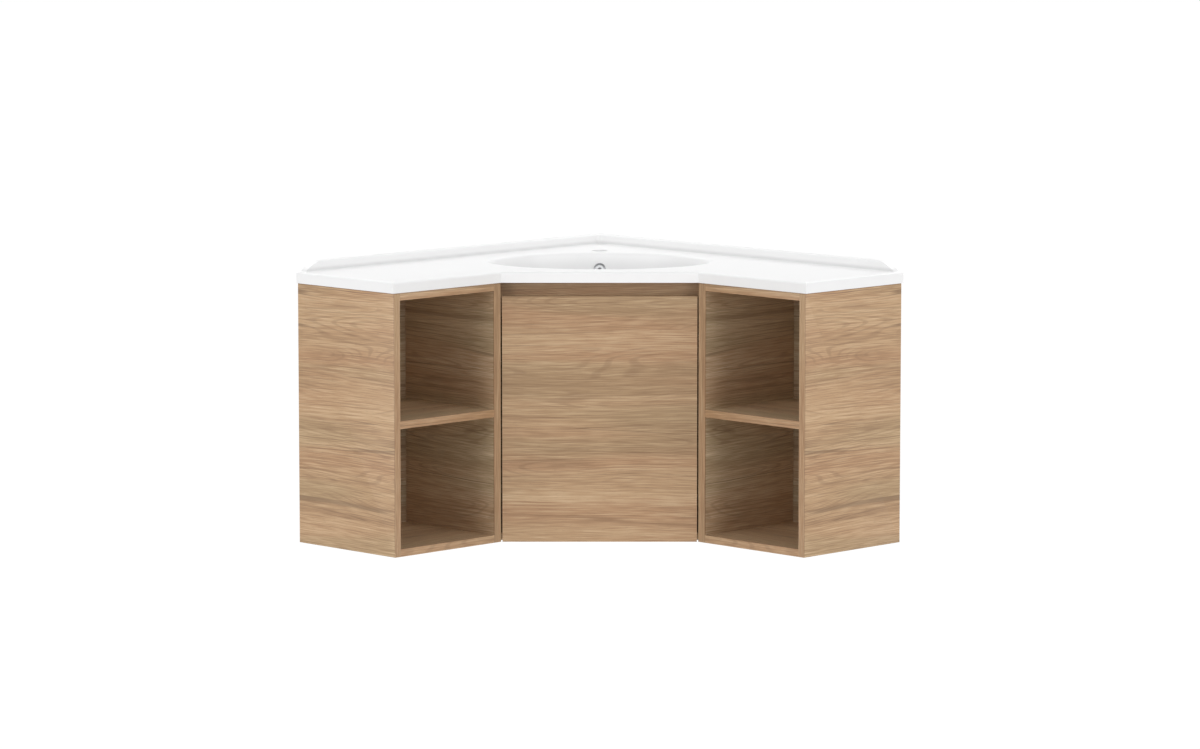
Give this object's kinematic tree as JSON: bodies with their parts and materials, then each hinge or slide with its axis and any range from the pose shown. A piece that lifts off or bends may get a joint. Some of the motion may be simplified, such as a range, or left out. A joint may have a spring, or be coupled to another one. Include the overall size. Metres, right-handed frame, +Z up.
{
  "type": "corner vanity unit",
  "caption": "Wall-hung corner vanity unit with a moulded top and oval bowl, a diagonal cabinet with a finger-pull door and open shelf modules either side.",
  "frame": {"origin": "the vertical line where the two walls of the room meet, level with the underside of the cabinets", "axes": "+Z up; the door faces -Y; the two walls run from the origin at 45 degrees between +X and -Y, and between -X and -Y"},
  "size_m": [1.2728, 0.8485, 0.595],
  "materials": {
    "oak_laminate": "light oak laminate with fine grain, satin",
    "oak_laminate_inside": "light oak laminate out of the light, satin",
    "cast_white": "glossy white gel coat on cast mineral",
    "chrome_trim": "polished",
    "hinge_steel": "nickel plated",
    "zinc_screw": "zinc plated",
    "beech": "plain",
    "clear_rubber": "clear, drawn as pale grey",
    "black_rubber": "matt",
    "waste_plastic": "plain"
  },
  "bodies": {
    "cabinet": {"left_end_panel": "oak_laminate", "left_inner_side": "oak_laminate", "left_top_board": "oak_laminate", "left_shelf": "oak_laminate", "left_bottom_board": "oak_laminate", "left_back_panel": "oak_laminate_inside", "left_wall_rails": "oak_laminate_inside", "left_dowels": "beech", "left_filler_strips": "oak_laminate", "left_tie_screws": "zinc_screw", "right_end_panel": "oak_laminate", "right_inner_side": "oak_laminate", "right_top_board": "oak_laminate", "right_shelf": "oak_laminate", "right_bottom_board": "oak_laminate", "right_back_panel": "oak_laminate_inside", "right_wall_rails": "oak_laminate_inside", "right_dowels": "beech", "right_filler_strips": "oak_laminate", "right_tie_screws": "zinc_screw", "cabinet_left_side": "oak_laminate", "cabinet_right_side": "oak_laminate", "cabinet_bottom": "oak_laminate", "cabinet_left_back_panel": "oak_laminate_inside", "cabinet_right_back_panel": "oak_laminate_inside", "cabinet_left_upper_rail": "oak_laminate_inside", "cabinet_right_upper_rail": "oak_laminate_inside", "cabinet_left_lower_rail": "oak_laminate_inside", "cabinet_right_lower_rail": "oak_laminate_inside", "finger_rail": "oak_laminate_inside", "cabinet_dowels": "beech", "door_buffers": "clear_rubber", "upper_hinge_arm": "hinge_steel", "lower_hinge_arm": "hinge_steel", "hinge_arm_pins": "hinge_steel", "hinge_arm_screws": "hinge_steel", "upper_hinge_plate": "hinge_steel", "lower_hinge_plate": "hinge_steel", "hinge_plate_screws": "hinge_steel", "vanity_top": "cast_white", "upstand": "cast_white", "bowl": "cast_white", "overflow_ring": "chrome_trim", "waste_body": "chrome_trim", "waste_flange_seal": "black_rubber", "waste_washer": "black_rubber", "waste_back_nut": "chrome_trim", "waste_cartridge": "waste_plastic"},
    "hinge_links": {"upper_hinge_link": "hinge_steel", "lower_hinge_link": "hinge_steel"},
    "door": {"door": "oak_laminate", "upper_hinge_cup": "hinge_steel", "lower_hinge_cup": "hinge_steel", "hinge_cup_pins": "hinge_steel", "hinge_cup_screws": "hinge_steel"},
    "waste_plug": {"waste_plug": "chrome_trim", "waste_plug_seal": "black_rubber"}
  },
  "joints": [
    {"name": "hinge_link_swing", "type": "hinge", "parent": "cabinet", "child": "hinge_links", "pos_m": [0.21919, -0.58391, 0.26], "axis": [0, 0, 1], "range_deg": [0, 20]},
    {"name": "door_swing", "type": "hinge", "parent": "hinge_links", "child": "door", "pos_m": [0.18519, -0.61991, 0.26], "axis": [0, 0, 1], "range_deg": [0, 80]},
    {"name": "waste_plug_slide", "type": "slide", "parent": "cabinet", "child": "waste_plug", "axis": [0, 0, 1], "range_m": [0, 0.008]}
  ],
  "couplings": [
    {"joint": "hinge_link_swing", "follows": "door_swing", "ratio": 0.25}
  ]
}
